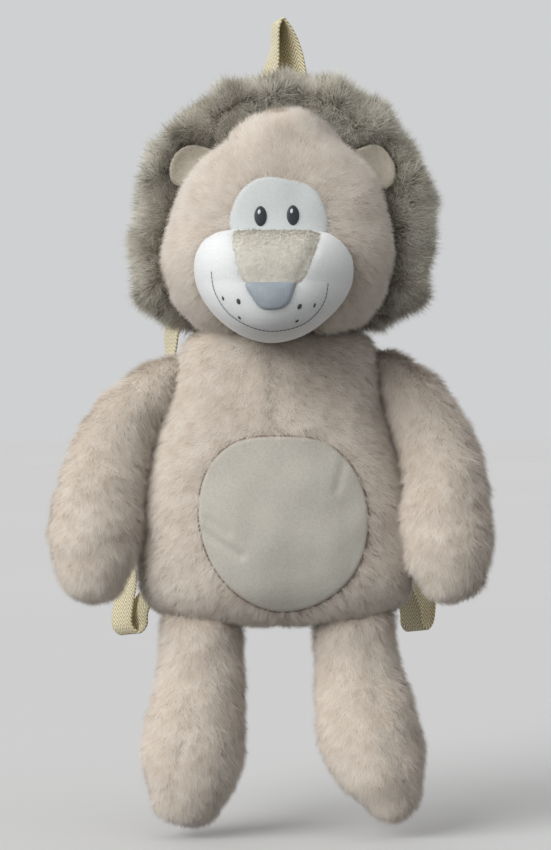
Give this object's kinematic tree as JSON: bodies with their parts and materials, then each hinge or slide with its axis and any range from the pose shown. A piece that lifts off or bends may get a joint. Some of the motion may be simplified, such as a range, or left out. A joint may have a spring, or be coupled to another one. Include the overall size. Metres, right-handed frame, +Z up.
{
  "type": "plush animal backpack",
  "caption": "Small plush lion backpack: hollow zipped trunk with stuffed head, tufted mane and limbs, webbing shoulder straps and a hanging loop.",
  "frame": {"origin": "inside top of the hanging loop, where a hook bears", "axes": "+Z up, -Y the way the face looks, +X to the right of someone looking at the face"},
  "size_m": [0.261, 0.1961, 0.4858],
  "materials": {
    "body_plush": "beige long-pile plush",
    "mane_plush": "grey-brown deep-pile plush",
    "white_velour": "white velour",
    "ear_velour": "beige velour",
    "bridge_plush": "short beige plush",
    "belly_velour": "grey-beige velour",
    "nose_thread": "grey-blue satin stitch",
    "pupil_thread": "dark satin stitch",
    "webbing": "cream ribbed webbing",
    "zip_tape": "woven tape with a nylon coil"
  },
  "bodies": {
    "root": {"trunk": "body_plush", "zip_closure": "zip_tape", "belly_patch": "belly_velour", "head": "body_plush", "mane": "mane_plush", "muzzle": "white_velour", "eye_patch": "white_velour", "nose_bridge": "bridge_plush", "nose": "nose_thread", "eye_left": "pupil_thread", "eye_right": "pupil_thread", "ear_left": "ear_velour", "ear_right": "ear_velour", "arm_left": "body_plush", "arm_right": "body_plush", "leg_left": "body_plush", "leg_right": "body_plush", "hang_loop": "webbing", "strap_left": "webbing", "strap_right": "webbing"}
  },
  "joints": []
}
